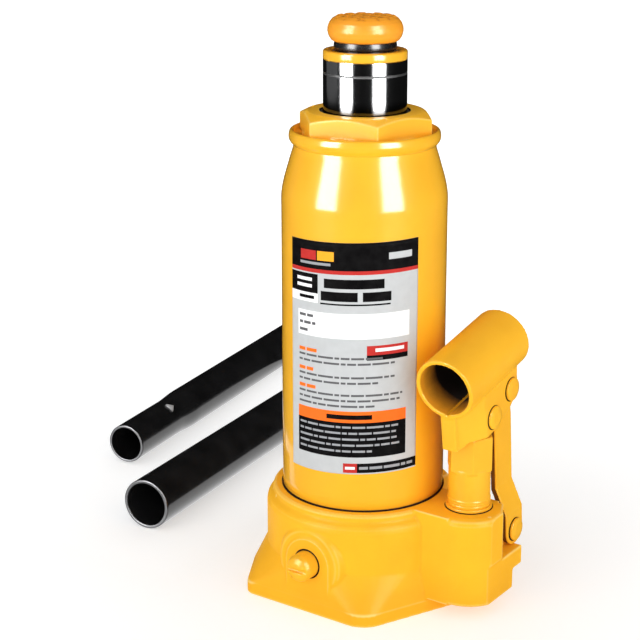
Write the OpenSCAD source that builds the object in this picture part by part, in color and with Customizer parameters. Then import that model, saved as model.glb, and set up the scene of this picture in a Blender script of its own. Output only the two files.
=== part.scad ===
// Hydraulic bottle jack with a side pump, its linkage and two loose handle tubes.
// Origin on the ram axis at the floor, +Z up. The pump lies on the +X side and the
// release valve faces -Y, the side the handle is worked from. Millimetres.

/* [Base casting] */
// Height of the machined face that the tank stands on
base_h = 45; // [35:1:60]
// Radius of the drum around the tank
drum_r = 41.5; // [38:0.5:50]
// Rounding of the drum's top edge
drum_edge = 4.5; // [1:0.5:8]
// Height of the vertical rim around the foot
foot_rim = 5; // [2:0.5:10]
// Height where the sloped skirt meets the drum
skirt_h = 20; // [12:1:30]
// Height of the pump boss's underside
boss_low = 6.5; // [3:0.5:12]
// Radius of the pump boss
boss_r = 17.2; // [14:0.2:24]

/* [Tank] */
// Outer radius of the oil tank
tank_r = 34.6; // [28:0.5:45]
// Wall of the oil tank
tank_wall = 2.4; // [1:0.1:4]
// Height where the shoulder starts
shoulder_low = 172; // [140:1:200]
// Height where the shoulder ends
shoulder_top = 191.5; // [150:0.5:215]
// Radius at the top of the shoulder
shoulder_r = 29.8; // [25:0.2:34]
// Radius of the rolled lip
lip_r = 31.4; // [26:0.2:36]
// Height of the rolled lip
lip_top = 199.7; // [160:0.1:230]
// Radius of the neck opening
neck_r = 26; // [22:0.2:30]

/* [Ram] */
// Radius of the lifting ram
ram_r = 17.3; // [12:0.1:25]
// Height of the ram's top face
ram_top = 228.6; // [180:0.2:280]
// Bore radius of the pressure cylinder
cyl_bore = 19; // [14:0.1:28]
// Outer radius of the pressure cylinder
cyl_r = 23.5; // [18:0.1:32]
// Radius of the extension screw
screw_r = 13; // [8:0.1:16]
// Radial running clearance of ram, piston and screw
run_gap = 0.06; // [0.02:0.01:0.1]

/* [Gland nut and saddle] */
// Corner radius of the gland nut's hexagon
nut_corner = 29; // [22:0.5:32]
// Top of the gland nut
nut_top = 207.5; // [180:0.1:230]
// Underside of the saddle
saddle_low = 235.6; // [200:0.1:280]
// Top of the saddle
saddle_top = 246; // [210:0.5:300]
// Widest radius of the saddle
saddle_r = 15.5; // [12:0.2:24]
// Number of grooves cut each way across the saddle's crown
saddle_grooves = 4; // [2:2:8]

/* [Pump] */
// Distance of the pump axis from the ram axis along X
pump_x = 51.5; // [45:0.5:70]
// Offset of the pump axis along Y
pump_y = 2.6; // [0:0.5:10]
// Radius of the pump cylinder
pump_r = 8.8; // [7:0.1:14]
// Corner radius of the pump cylinder's hexagon
pump_hex = 9.9; // [8:0.1:16]
// Height where the hexagon starts
hex_low = 61.7; // [50:0.1:90]
// Top of the pump cylinder
pump_top = 77; // [60:0.1:110]
// Radius of the plunger
plunger_r = 6; // [4:0.1:9]

/* [Linkage] */
// Height of the pin through the plunger
pin1_z = 86.2; // [70:0.1:120]
// Y of the pin between link and socket
pin2_y = 16.8; // [10:0.1:30]
// Height of the pin between link and socket
pin2_z = 94.3; // [75:0.1:130]
// Y of the pin in the base lug
pin3_y = 22; // [15:0.1:40]
// Height of the pin in the base lug
pin3_z = 30.2; // [15:0.1:35]
// Radius of the three pins
pin_r = 3.4; // [2:0.1:6]
// Radius of the pin heads
pin_head_r = 4.9; // [3:0.1:8]
// Thickness of each link strap
strap_t = 2.7; // [1.5:0.1:5]
// Half width of each link strap
strap_r = 6.8; // [4:0.1:9]

/* [Handle socket] */
// Outer radius of the socket tube
socket_r = 13; // [10:0.1:18]
// Bore radius of the socket tube
socket_bore = 11.2; // [6:0.1:14]
// Length of the socket tube
socket_l = 48; // [35:0.2:90]
// Upward slope of the socket from mouth to back
socket_tilt = 12.15; // [0:0.05:30]
// Y of the mouth's centre
mouth_y = -19.6; // [-30:0.1:-5]
// Height of the mouth's centre
mouth_z = 102; // [85:0.1:140]
// Half thickness of the pinched seam below the mouth
seam_half = 3.4; // [1.5:0.1:6]
// Half width over the two cheeks
cheek_half = 11; // [8:0.1:16]
// Sheet thickness of the cheeks
cheek_t = 3; // [1.5:0.1:5]

/* [Release valve] */
// X of the valve's axis
valve_x = 0.5; // [-10:0.5:10]
// Height of the valve's axis
valve_z = 22; // [15:0.5:30]
// Radius of the valve stub
valve_r = 5.8; // [4:0.1:8]
// Y of the flat pad around the valve
pad_y = -42.5; // [-50:0.5:-38]
// Radius of the arched pad around the valve
pad_r = 10.8; // [8:0.1:14]

/* [Handle tubes] */
// Radius of the wide handle tube
wide_r = 12; // [9:0.1:18]
// Bore radius of the wide handle tube
wide_bore = 10.3; // [7:0.1:16]
// Radius of the slim handle tube
slim_r = 10.9; // [7:0.1:15]
// Radius of its drawn-down plug end
slim_plug_r = 10; // [6:0.1:14]
// Bore radius of the slim handle tube
slim_bore = 8.6; // [5:0.1:12]
// Length of each handle tube
tube_l = 260; // [180:5:400]

/* [Hidden] */
$fn = 96;
eps = 0.01;
hull_fn = 32;
fit = 0.02;
tank_in = tank_r - tank_wall;
lip_sink = 1.8;
lip_wall = 2;
cyl_seat = 40;
cyl_top = 189.8;
guide_low = 190;
guide_top = 201;
piston_low = 42;
piston_h = 12;
piston_r = cyl_bore - run_gap;
piston_top = piston_low + piston_h;
ram_hole_low = 138;
collar_top = 232.3;
screw_low = 150;
front_x = 21.1;
front_y = 30.8;
front_corner = 12;
heel_x = 28.1;
heel_y = 37.3;
heel_corner = 5.5;
nose_x = 41.1;
nose_r = 6.5;
side_x = 38.5;
side_y = 19;
lug_half = 8.6;
lug_r = 9;
strap_in_low = 9;
strap_in_top = 4.2;
strap_slot_y = 12.2;
lean_slot_y = 13.5;
lug_cut = 1.4;
shelf_top = 23.1;
shelf_low = 15;
shelf_back = 23.2;
heel_flat = 14.8;
heel_top = 24.2;
flat_step = 0.7;
boss_corner_cut = 24.8;
tail_y = 15.7;
pump_low = 31;
link_dy = pin3_y - pin2_y;
link_dz = pin2_z - pin3_z;
link_l = sqrt(link_dy * link_dy + link_dz * link_dz);
link_lean = atan2(link_dy, link_dz);
bend_low = 8.5;
bend_top = 20.3;
strap_top_r = 4.8;
pin_head_t = 1.5;
label_t = 0.2;
label_low = 61.5;
label_h = 98;
label_span = 96;
label_mid = -65.7;
plug_z = 158;
plug_turn = 118;
plug_r = 4.5;
wide_x = -110.6;
wide_y = -17.4;
wide_turn = 7.8;
slim_x = -172.3;
slim_y = 37.4;
slim_turn = 10.3;
slim_plug = 42;
slim_taper = 18;
yellow = [0.98, 0.68, 0.08];
black = [0.05, 0.05, 0.05];
steel = [0.6, 0.6, 0.62];
chrome = [0.85, 0.86, 0.88];
rubber = [0.08, 0.08, 0.08];

// Unit vector along the socket tube from mouth to back, and its upward normal
dir_y = cos(socket_tilt);
dir_z = sin(socket_tilt);

// A point given in Y and Z, in the socket's own along and up directions
function along(y, z) = (y - mouth_y) * dir_y + (z - mouth_z) * dir_z;
function above(y, z) = (z - mouth_z) * dir_y - (y - mouth_y) * dir_z;

module ring(outer, inner, low, high) {
  difference() {
    translate([0, 0, low])
      cylinder(r = outer, h = high - low);
    translate([0, 0, low - 1])
      cylinder(r = inner, h = high - low + 2);
  }
}

module rod_x(r, x_low, x_high) {
  translate([x_low, 0, 0])
    rotate([0, 90, 0])
      cylinder(r = r, h = x_high - x_low);
}

module rod_y(r, y_low, y_high) {
  translate([0, y_low, 0])
    rotate([-90, 0, 0])
      cylinder(r = r, h = y_high - y_low);
}

// ---- Base ----

module foot_post(x, y, r, h) {
  translate([x, y, 0])
    cylinder(r = r, h = h, $fn = hull_fn);
}

module foot() {
  hull() {
    for (s = [-1, 1]) {
      foot_post(front_x, s * front_y, front_corner, foot_rim);
      foot_post(-heel_x, s * heel_y, heel_corner, foot_rim);
      foot_post(-side_x, s * side_y, heel_corner, foot_rim);
    }
    foot_post(nose_x, 0, nose_r, foot_rim);
    translate([0, 0, skirt_h - 1])
      cylinder(r = drum_r - 0.3, h = 1, $fn = 2 * hull_fn);
  }
}

module drum() {
  rotate_extrude()
    polygon([
      [0, foot_rim], [drum_r, foot_rim], [drum_r, base_h - drum_edge - 3],
      [drum_r - 0.4, base_h - drum_edge - 1.2], [drum_r - 1.2, base_h - drum_edge],
      [drum_r - 2.6, base_h - 3.2], [drum_r - 2.8, base_h - 0.9],
      [drum_r - 3.7, base_h], [0, base_h]
    ]);
}

module boss() {
  translate([pump_x, pump_y, 0])
    rotate_extrude()
      polygon([
        [0, boss_low], [boss_r - 1, boss_low], [boss_r, boss_low + 1],
        [boss_r, base_h - 2.5], [boss_r - 0.7, base_h - 0.7],
        [boss_r - 2.5, base_h], [0, base_h]
      ]);
  difference() {
    translate([0, pump_y - boss_r, boss_low])
      cube([pump_x, 2 * boss_r, base_h - boss_low]);
    for (s = [-1, 1])
      translate([-1, pump_y + s * boss_r, base_h])
        rotate([45, 0, 0])
          cube([pump_x + 2, 2.2, 2.2], center = false);
  }
}

module lug() {
  translate([pump_x, 0, 0]) {
    translate([-lug_half, 0, shelf_low])
      cube([2 * lug_half, pin3_y, pin3_z + lug_r - shelf_low]);
    translate([0, pin3_y, pin3_z])
      rod_x(lug_r, -lug_half, lug_half);
    translate([-heel_flat, 0, shelf_low])
      cube([2 * heel_flat, shelf_back, shelf_top - shelf_low]);
    translate([-heel_flat, 0, boss_low])
      cube([2 * heel_flat, tail_y, shelf_low - boss_low + 1]);
  }
}

module valve_boss() {
  translate([valve_x, 0, valve_z]) {
    rotate([90, 0, 0])
      rotate_extrude()
        polygon([[0, 20], [16.6, 20], [16.2, 38.5], [15.2, 40.8], [13.8, 41.8], [0, 41.8]]);
    rod_y(pad_r, pad_y, -20);
    translate([-pad_r, pad_y, foot_rim - valve_z])
      cube([2 * pad_r, -pad_y - 30, valve_z - foot_rim]);
  }
}

module base_casting() {
  color(yellow)
    difference() {
      union() {
        foot();
        drum();
        boss();
        lug();
        valve_boss();
      }
      translate([0, 0, cyl_seat])
        cylinder(r = cyl_r + 0.1, h = base_h);
      ring(tank_r - 0.6, tank_in - 1.2, base_h - 1.2, base_h + 1);
      // Strap slots on both sides of the lug
      for (s = [0, 1])
        translate([pump_x, 0, 0])
          mirror([s, 0, 0])
            translate([lug_half, strap_slot_y, shelf_top])
              cube([16, 40, base_h]);
      // The straps lean in over the lug, so the boss is cut back above it
      translate([pump_x - 20, lean_slot_y, pin3_z + lug_r - lug_cut])
        cube([40, 30, base_h]);
      // Flats on the outer side of the boss, and its back corner cut off above the shelf
      translate([pump_x + heel_flat, -30, -1])
        cube([30, 60, heel_top + 1]);
      translate([pump_x + heel_flat + flat_step, -30, heel_top - 1])
        cube([30, 60, base_h]);
      translate([pump_x + heel_flat, pump_y + 1.8, shelf_top])
        rotate([0, 0, boss_corner_cut])
          cube([20, 40, base_h]);
      translate([pump_x, pin3_y, pin3_z])
        rod_x(pin_r + fit, -30, 30);
      // Pump bore, inlet chamber and oil ways
      translate([pump_x, pump_y, pump_low - 1])
        cylinder(r = pump_r + fit, h = base_h);
      translate([pump_x, pump_y, valve_z - 4])
        cylinder(r = 3.2, h = 20);
      translate([8, pump_y, valve_z])
        rod_x(2, -8, pump_x - 8);
      translate([0, 0, valve_z - 5])
        cylinder(r = 3.6, h = 30);
      // Release valve bore and its seat
      translate([valve_x, 0, valve_z]) {
        rod_y(valve_r + 0.06, pad_y - 1, -22);
        rod_y(3.4, -30, -14);
        rod_y(1.8, -30, 0);
      }
    }
}

// ---- Tank and cylinder ----

module reservoir_tank() {
  color(yellow)
    difference() {
      rotate_extrude()
        polygon([
          [tank_in, base_h + eps], [tank_r, base_h + eps], [tank_r, shoulder_low],
          [tank_r - 0.5, shoulder_low + 4], [tank_r - 1.4, shoulder_low + 8],
          [tank_r - 2.7, shoulder_low + 12.5], [tank_r - 3.7, shoulder_low + 16],
          [shoulder_r, shoulder_top], [shoulder_r - 0.4, shoulder_top + 2],
          [lip_r - 1, shoulder_top + 2.8], [lip_r - 0.2, shoulder_top + 4],
          [lip_r, shoulder_top + 5.4], [lip_r - 0.25, lip_top - 1],
          [lip_r - 0.7, lip_top - 0.25], [lip_r - 1.2, lip_top],
          [lip_r - 1.65, lip_top - 0.2], [lip_r - lip_wall, lip_top - 0.7],
          [lip_r - lip_wall, lip_top - lip_sink], [neck_r, lip_top - lip_sink],
          [neck_r, shoulder_top - 4], [tank_in, shoulder_low - 2]
        ]);
      rotate([0, 0, plug_turn])
        translate([tank_r - 10, 0, plug_z])
          rod_x(plug_r, 0, 12);
    }
}

module tank_seal() {
  color(rubber)
    ring(tank_r - 0.7, tank_in - 1.1, base_h - 1.15, base_h);
}

module inner_cylinder() {
  color(steel)
    ring(cyl_r, cyl_bore, cyl_seat + 1.2, cyl_top);
}

module cylinder_seal() {
  color([0.72, 0.45, 0.2])
    ring(cyl_r, cyl_bore + 0.5, cyl_seat + fit, cyl_seat + 1.2 - fit);
}

module gland_nut() {
  hex_base = lip_top - lip_sink + fit;
  nut_turn = 13.5;
  chamfer_r = 23.9;
  chamfer_run = 1.95;
  color(yellow)
    difference() {
      union() {
        translate([0, 0, 184])
          cylinder(r = neck_r - 0.1, h = hex_base - 184 + 1);
        intersection() {
          translate([0, 0, hex_base])
            rotate([0, 0, nut_turn])
              cylinder(r = nut_corner, h = nut_top - hex_base, $fn = 6);
          translate([0, 0, hex_base])
            cylinder(r1 = chamfer_r + chamfer_run * (nut_top - hex_base), r2 = chamfer_r,
                     h = nut_top - hex_base);
        }
      }
      translate([0, 0, 183])
        cylinder(r = cyl_r + 0.1, h = guide_low - 183);
      translate([0, 0, 185])
        cylinder(r = ram_r + run_gap, h = 30);
      translate([0, 0, guide_top])
        cylinder(r = 18.5, h = 10);
    }
}

module wiper_seal() {
  color(rubber)
    difference() {
      rotate_extrude()
        polygon([
          [ram_r + 0.03, guide_top + fit], [18.46, guide_top + fit],
          [18.46, 206.8], [17.9, 207.3], [ram_r + 0.03, 206.4]
        ]);
    }
}

module tank_label() {
  color([0.82, 0.83, 0.84])
    rotate([0, 0, label_mid - label_span / 2])
      rotate_extrude(angle = label_span)
        translate([tank_r + fit, label_low])
          square([label_t, label_h]);
}

module filler_plug() {
  color(rubber)
    rotate([0, 0, plug_turn])
      translate([0, 0, plug_z]) {
        rod_x(plug_r - fit, tank_in - 2, tank_r + 0.5);
        rod_x(plug_r + 2, tank_r + 0.3, tank_r + 2);
        rod_x(plug_r + 0.8, tank_in - 2.6, tank_in - 1.2);
      }
}

// ---- Ram, screw and saddle ----

module ram_rod() {
  color(chrome)
    difference() {
      translate([0, 0, piston_low - 0.5])
        cylinder(r = 11, h = piston_top - piston_low + 0.5);
      translate([0, 0, piston_low - 1])
        cylinder(r = 4, h = 4);
    }
  color(chrome)
    difference() {
      union() {
        translate([0, 0, piston_top + fit])
          cylinder(r = ram_r, h = ram_top - 6 - piston_top - fit);
        ring(ram_r - 0.35, screw_r, ram_top - 6.2, ram_top - 5);
        translate([0, 0, ram_top - 5])
          cylinder(r = ram_r, h = 5);
        translate([0, 0, piston_top - 1])
          cylinder(r = 11, h = 3);
      }
      translate([0, 0, ram_hole_low])
        cylinder(r = screw_r + run_gap, h = 120);
    }
}

module ram_collar() {
  color(yellow)
    difference() {
      rotate_extrude()
        polygon([
          [screw_r + run_gap, ram_top + fit], [ram_r, ram_top + fit],
          [ram_r, collar_top - 0.6], [ram_r - 0.6, collar_top],
          [screw_r + run_gap, collar_top]
        ]);
    }
}

module ram_piston() {
  color(steel)
    difference() {
      translate([0, 0, piston_low])
        cylinder(r = piston_r, h = piston_h);
      translate([0, 0, piston_low - 1])
        cylinder(r = 11 + fit, h = piston_h + 2);
      ring(piston_r + 1, piston_r - 2.8, piston_low + 4, piston_low + 8);
    }
}

module piston_seal() {
  color(rubber)
    ring(cyl_bore - 0.02, piston_r - 2.7, piston_low + 4.1, piston_low + 7.9);
}

module extension_screw() {
  thread_pitch = 3;
  color(black)
    difference() {
      union() {
        translate([0, 0, screw_low])
          cylinder(r = screw_r - 1.4, h = saddle_low - screw_low);
        for (z = [screw_low + 2:thread_pitch:saddle_low - 3])
          translate([0, 0, z])
            cylinder(r = screw_r, h = thread_pitch - 1.2);
        translate([0, 0, saddle_low - 3.3])
          cylinder(r = screw_r - 0.5, h = 3.3);
        translate([0, 0, saddle_low - 1])
          cylinder(r = 8, h = 6);
      }
      translate([0, 0, screw_low - 1])
        cylinder(r = 4, h = 10);
    }
}

module screw_stop_ring() {
  color(steel)
    ring(screw_r - 0.2, 4.5, screw_low - 2.5, screw_low - fit);
}

module saddle() {
  groove = 2.5;
  pitch = 5.5;
  color(yellow)
    difference() {
      rotate_extrude()
        polygon([
          [0, saddle_low], [saddle_r - 2.8, saddle_low], [saddle_r - 1.6, saddle_low + 0.6],
          [saddle_r - 0.6, saddle_low + 2.1], [saddle_r, saddle_low + 4.2],
          [saddle_r - 0.1, saddle_low + 6], [saddle_r - 0.8, saddle_low + 7.8],
          [saddle_r - 2, saddle_low + 9.3], [saddle_r - 3.6, saddle_top], [0, saddle_top]
        ]);
      translate([0, 0, saddle_low - 1])
        cylinder(r = 8 + fit, h = 6.1);
      for (turn = [-20, 70])
        for (i = [0:saddle_grooves - 1])
          rotate([0, 0, turn])
            translate([0, (i - (saddle_grooves - 1) / 2) * pitch, saddle_top + 0.5])
              rotate([45, 0, 0])
                cube([60, groove, groove], center = true);
    }
}

// ---- Release valve ----

module release_valve() {
  color(yellow)
    translate([valve_x, 0, valve_z])
      rotate([90, 0, 0])
        difference() {
          rotate_extrude()
            polygon([
              [0, 22.5], [2.6, 25], [3.2, 25], [3.2, 30], [valve_r, 31],
              [valve_r, 48], [valve_r - 0.8, 49.6], [valve_r - 2.6, 50.6], [0, 51]
            ]);
          ring(valve_r + 1, 4.2, 33, 36);
          translate([-10, -0.9, 49.6])
            cube([20, 1.8, 3]);
        }
}

module valve_packing() {
  color(rubber)
    translate([valve_x, 0, valve_z])
      rotate([90, 0, 0])
        ring(valve_r + 0.04, 4.25, 33.1, 35.9);
}

module valve_ball() {
  color(steel)
    translate([valve_x, -18.6, valve_z])
      sphere(r = 3.2, $fn = 48);
}

// ---- Pump ----

module pump_cylinder() {
  color(yellow)
    translate([pump_x, pump_y, 0])
      difference() {
        union() {
          translate([0, 0, pump_low])
            cylinder(r = pump_r, h = hex_low - pump_low + 1);
          for (z = [base_h + 1.9:1.1:base_h + 5])
            translate([0, 0, z])
              cylinder(r = pump_r + 0.25, h = 0.6);
          intersection() {
            translate([0, 0, hex_low])
              rotate([0, 0, 8])
                cylinder(r = pump_hex, h = pump_top - hex_low, $fn = 6);
            translate([0, 0, hex_low])
              cylinder(r1 = 9.3, r2 = 27, h = pump_top - hex_low);
            translate([0, 0, hex_low])
              cylinder(r1 = 27, r2 = 9.2, h = pump_top - hex_low);
          }
        }
        translate([0, 0, pump_low + 1.5])
          cylinder(r = plunger_r + run_gap, h = 60);
        translate([0, 0, pump_low - 1])
          cylinder(r = 2, h = 6);
        ring(7.4, plunger_r - 1, 66, 69);
      }
}

module pump_washer() {
  color(yellow)
    translate([pump_x, pump_y, 0])
      ring(pump_r + 1, pump_r + fit, base_h + fit, base_h + 1.4);
}

module pump_packing() {
  color(rubber)
    translate([pump_x, pump_y, 0])
      ring(7.38, plunger_r + 0.03, 66.1, 68.9);
}

module inlet_ball() {
  color(steel)
    translate([pump_x, pump_y, valve_z - 0.7])
      sphere(r = 3, $fn = 48);
}

module outlet_ball() {
  color(steel)
    translate([0, 0, valve_z + 6])
      sphere(r = 3.2, $fn = 48);
}

module pump_plunger() {
  eye_half = 4.8;
  eye_r = 6.4;
  slot_shift = 0.8;
  color(steel)
    translate([pump_x, pump_y, 0])
      difference() {
        union() {
          translate([0, 0, 34])
            cylinder(r = plunger_r, h = pump_top + 3 - 34);
          translate([0, 0, pin1_z])
            rod_x(eye_r, -eye_half, eye_half);
          translate([-eye_half, -4.6, pump_top + 1])
            cube([2 * eye_half, 9.2, pin1_z - pump_top]);
        }
        for (s = [-1, 1])
          translate([0, s * slot_shift, pin1_z])
            rod_x(pin_r + 0.3, -10, 10);
        translate([-10, -slot_shift, pin1_z - pin_r - 0.3])
          cube([20, 2 * slot_shift, 2 * pin_r + 0.6]);
        ring(8, plunger_r - 1.6, 38, 41);
      }
}

module plunger_seal() {
  color(rubber)
    translate([pump_x, pump_y, 0])
      ring(plunger_r + 0.04, plunger_r - 1.55, 38.1, 40.9);
}

// ---- Linkage ----

module headed_pin(half, r, head_r, head_t) {
  rod_x(r, -half, half);
  for (s = [-1, 1])
    rod_x(head_r, s > 0 ? half - eps : -half - head_t + eps, s > 0 ? half + head_t - eps : -half + eps);
}

module link_foot_pin() {
  half = strap_in_low + strap_t + 0.2;
  color(yellow)
    translate([pump_x, pin3_y, pin3_z])
      headed_pin(half, pin_r, pin_head_r, pin_head_t);
}

module plunger_pin() {
  color(yellow)
    translate([pump_x, pump_y, pin1_z])
      headed_pin(cheek_half + fit, pin_r, pin_head_r, pin_head_t);
}

module link_top_pin() {
  color(yellow)
    translate([pump_x, pin2_y, pin2_z])
      headed_pin(cheek_half + fit, pin_r, pin_head_r, pin_head_t);
}

// A strap in its own frame: origin at the foot pin, +Z to the top pin
module strap() {
  taper_l = 14;
  difference() {
    intersection() {
      translate([0, strap_r + 2, 0])
        rotate([90, 0, 0])
          linear_extrude(2 * strap_r + 4)
            polygon([
              [strap_in_low, -10], [strap_in_low + strap_t, -10],
              [strap_in_low + strap_t, bend_low], [strap_in_top + strap_t, bend_top],
              [strap_in_top + strap_t, link_l + 10], [strap_in_top, link_l + 10],
              [strap_in_top, bend_top - 0.8], [strap_in_low, bend_low - 0.8]
            ]);
      union() {
        rod_x(strap_r, 0, 20);
        translate([0, 0, link_l])
          rod_x(strap_top_r, 0, 20);
        rotate([90, 0, 90])
          linear_extrude(20)
            polygon([
              [-strap_r, 0], [strap_r, 0], [strap_r, link_l - taper_l],
              [strap_top_r, link_l], [-strap_top_r, link_l], [-strap_r, link_l - taper_l]
            ]);
      }
    }
    rod_x(pin_r + run_gap, -1, 30);
    translate([0, 0, link_l])
      rod_x(pin_r + run_gap, -1, 30);
  }
}

module placed_strap(side) {
  translate([pump_x, pin3_y, pin3_z])
    rotate([link_lean, 0, 0])
      mirror([side, 0, 0])
        strap();
}

module link_strap_right() {
  color(yellow)
    placed_strap(0);
}

module link_strap_left() {
  color(yellow)
    placed_strap(1);
}

module in_socket_frame() {
  translate([pump_x, mouth_y, mouth_z])
    rotate([socket_tilt, 0, 0])
      children();
}

// Side view of the cheeks, along the tube and up from its axis
module cheek_side() {
  a1 = along(pump_y, pin1_z);
  n1 = above(pump_y, pin1_z);
  a2 = along(pin2_y, pin2_z);
  n2 = above(pin2_y, pin2_z);
  r1 = 6.3;
  r2 = 5.4;
  front_low = -28.2;
  cheek_low = -26.5;
  union() {
    translate([a1, n1])
      circle(r = r1);
    translate([a2, n2])
      circle(r = r2);
    polygon([
      [0.6, -8], [0.6, -12], [-0.6, front_low], [2.4, front_low - 0.2], [5.6, cheek_low],
      [a1 - 2, cheek_low], [a2 - 2.3, n2 - 8], [a2 + 3.4, n2 - 4.4], [a2 + r2, n2],
      [a2 + r2 + 1, -8]
    ]);
  }
}

module skirt_solid() {
  flare_from = 2;
  flare_to = 12;
  back = 45;
  intersection() {
    translate([-20, 0, 0])
      rotate([90, 0, 90])
        linear_extrude(40)
          cheek_side();
    translate([0, 0, -50])
      linear_extrude(50)
        polygon([
          [-seam_half, -6], [seam_half, -6], [seam_half, flare_from],
          [cheek_half, flare_to], [cheek_half, back], [-cheek_half, back],
          [-cheek_half, flare_to], [-seam_half, flare_from]
        ]);
  }
}

module skirt_hollow() {
  inner = cheek_half - cheek_t;
  translate([0, 0, -50])
    linear_extrude(50)
      polygon([
        [0, 5], [inner, 13.4], [inner, 60], [-inner, 60], [-inner, 13.4]
      ]);
}

module handle_socket() {
  notch = 3;
  pocket_r = strap_top_r + 0.25;
  color(yellow)
    difference() {
      in_socket_frame()
        difference() {
          union() {
            difference() {
              skirt_solid();
              skirt_hollow();
            }
            rod_y(socket_r, 0, socket_l);
          }
          rod_y(socket_bore, -1, socket_l + 1);
          // The seam's crease along the bottom of the bore
          translate([0, -1, -socket_bore + 1])
            rotate([0, 45, 0])
              translate([-notch / 2, 0, -notch / 2])
                cube([notch, socket_l + 2, notch]);
        }
      for (p = [[pump_y, pin1_z], [pin2_y, pin2_z]])
        translate([pump_x, p[0], p[1]])
          rod_x(pin_r + fit, -30, 30);
      // Room for the straps' round ends under the tube
      translate([pump_x, pin2_y, pin2_z])
        for (s = [-1, 1])
          rod_x(pocket_r, s > 0 ? strap_in_top - 0.2 : -cheek_half + cheek_t,
                s > 0 ? cheek_half - cheek_t : -strap_in_top + 0.2);
    }
}

// ---- Loose handle tubes ----

module handle_tube_wide() {
  color(black)
    translate([wide_x, wide_y, wide_r])
      rotate([0, 0, wide_turn])
        difference() {
          rod_y(wide_r, 0, tube_l);
          rod_y(wide_bore, -1, tube_l + 1);
        }
}

module handle_tube_slim() {
  tab = 3.4;
  color(black)
    translate([slim_x, slim_y, slim_r])
      rotate([0, 0, slim_turn])
        difference() {
          union() {
            rod_y(slim_plug_r, 0, slim_plug + 1);
            translate([0, slim_plug, 0])
              rotate([-90, 0, 0])
                cylinder(r1 = slim_plug_r, r2 = slim_r, h = slim_taper);
            rod_y(slim_r, slim_plug + slim_taper, tube_l);
            // The stop tab that keeps the plug end from going in too far
            translate([0, slim_plug + 2, slim_plug_r - 0.6])
              rotate([0, 0, 90])
                linear_extrude(1.8)
                  circle(r = tab, $fn = 3);
          }
          rod_y(slim_bore, -1, tube_l + 1);
        }
}

base_casting();
reservoir_tank();
tank_seal();
inner_cylinder();
cylinder_seal();
gland_nut();
wiper_seal();
tank_label();
filler_plug();
pump_cylinder();
pump_washer();
pump_packing();
inlet_ball();
outlet_ball();
valve_ball();
link_foot_pin();
ram_rod();
ram_collar();
ram_piston();
piston_seal();
extension_screw();
screw_stop_ring();
saddle();
release_valve();
valve_packing();
pump_plunger();
plunger_seal();
link_strap_right();
link_strap_left();
handle_socket();
plunger_pin();
link_top_pin();
handle_tube_wide();
handle_tube_slim();
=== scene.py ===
import itertools
import math
import bmesh
import bpy
from mathutils import Matrix, Vector


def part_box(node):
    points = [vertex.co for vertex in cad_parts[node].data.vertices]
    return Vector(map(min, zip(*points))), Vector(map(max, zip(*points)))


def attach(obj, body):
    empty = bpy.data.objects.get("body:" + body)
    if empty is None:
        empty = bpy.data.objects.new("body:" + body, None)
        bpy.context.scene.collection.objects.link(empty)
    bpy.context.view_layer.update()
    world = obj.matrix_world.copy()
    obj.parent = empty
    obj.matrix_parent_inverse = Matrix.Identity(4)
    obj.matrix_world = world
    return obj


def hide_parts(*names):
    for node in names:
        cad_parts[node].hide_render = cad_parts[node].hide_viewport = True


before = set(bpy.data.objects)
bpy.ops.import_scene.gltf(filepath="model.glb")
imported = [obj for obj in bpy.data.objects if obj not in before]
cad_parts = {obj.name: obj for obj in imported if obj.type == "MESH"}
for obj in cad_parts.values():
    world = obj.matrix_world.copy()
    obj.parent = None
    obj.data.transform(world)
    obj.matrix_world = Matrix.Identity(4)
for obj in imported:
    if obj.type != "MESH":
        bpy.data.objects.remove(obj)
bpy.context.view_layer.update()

MM = 0.001
TAU = math.tau
scene = bpy.context.scene


def mm(*v):
    return Vector(v) * MM


# ---------------------------------------------------------------- camera
# The view is 35 degrees round towards the pump and looks 14 degrees down. A small shift
# keeps the uprights as nearly parallel as the photograph has them.
VIEW_TURN = math.radians(35)
LOOK_DOWN = math.radians(14.04)
CAM_BACK, CAM_SIDE, CAM_HIGH = 650.5, -15.6, 315.7
SENSOR, LENS = 36, 90.2
SHIFT_ACROSS, SHIFT_UP = -0.0108, -0.1277
RIGHT = Vector((math.cos(VIEW_TURN), math.sin(VIEW_TURN), 0))
AWAY = Vector((-math.sin(VIEW_TURN), math.cos(VIEW_TURN), 0))

cam_data = bpy.data.cameras.new("cam")
cam = bpy.data.objects.new("cam", cam_data)
scene.collection.objects.link(cam)
cam.location = (RIGHT * CAM_SIDE - AWAY * CAM_BACK + Vector((0, 0, CAM_HIGH))) * MM
cam.rotation_euler = (math.pi / 2 - LOOK_DOWN, 0, VIEW_TURN)
cam_data.sensor_width = SENSOR
cam_data.lens = LENS
cam_data.shift_x = SHIFT_ACROSS
cam_data.shift_y = SHIFT_UP
cam_data.clip_start = 0.01
cam_data.clip_end = 50
scene.camera = cam
scene.view_settings.view_transform = "Standard"


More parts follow.
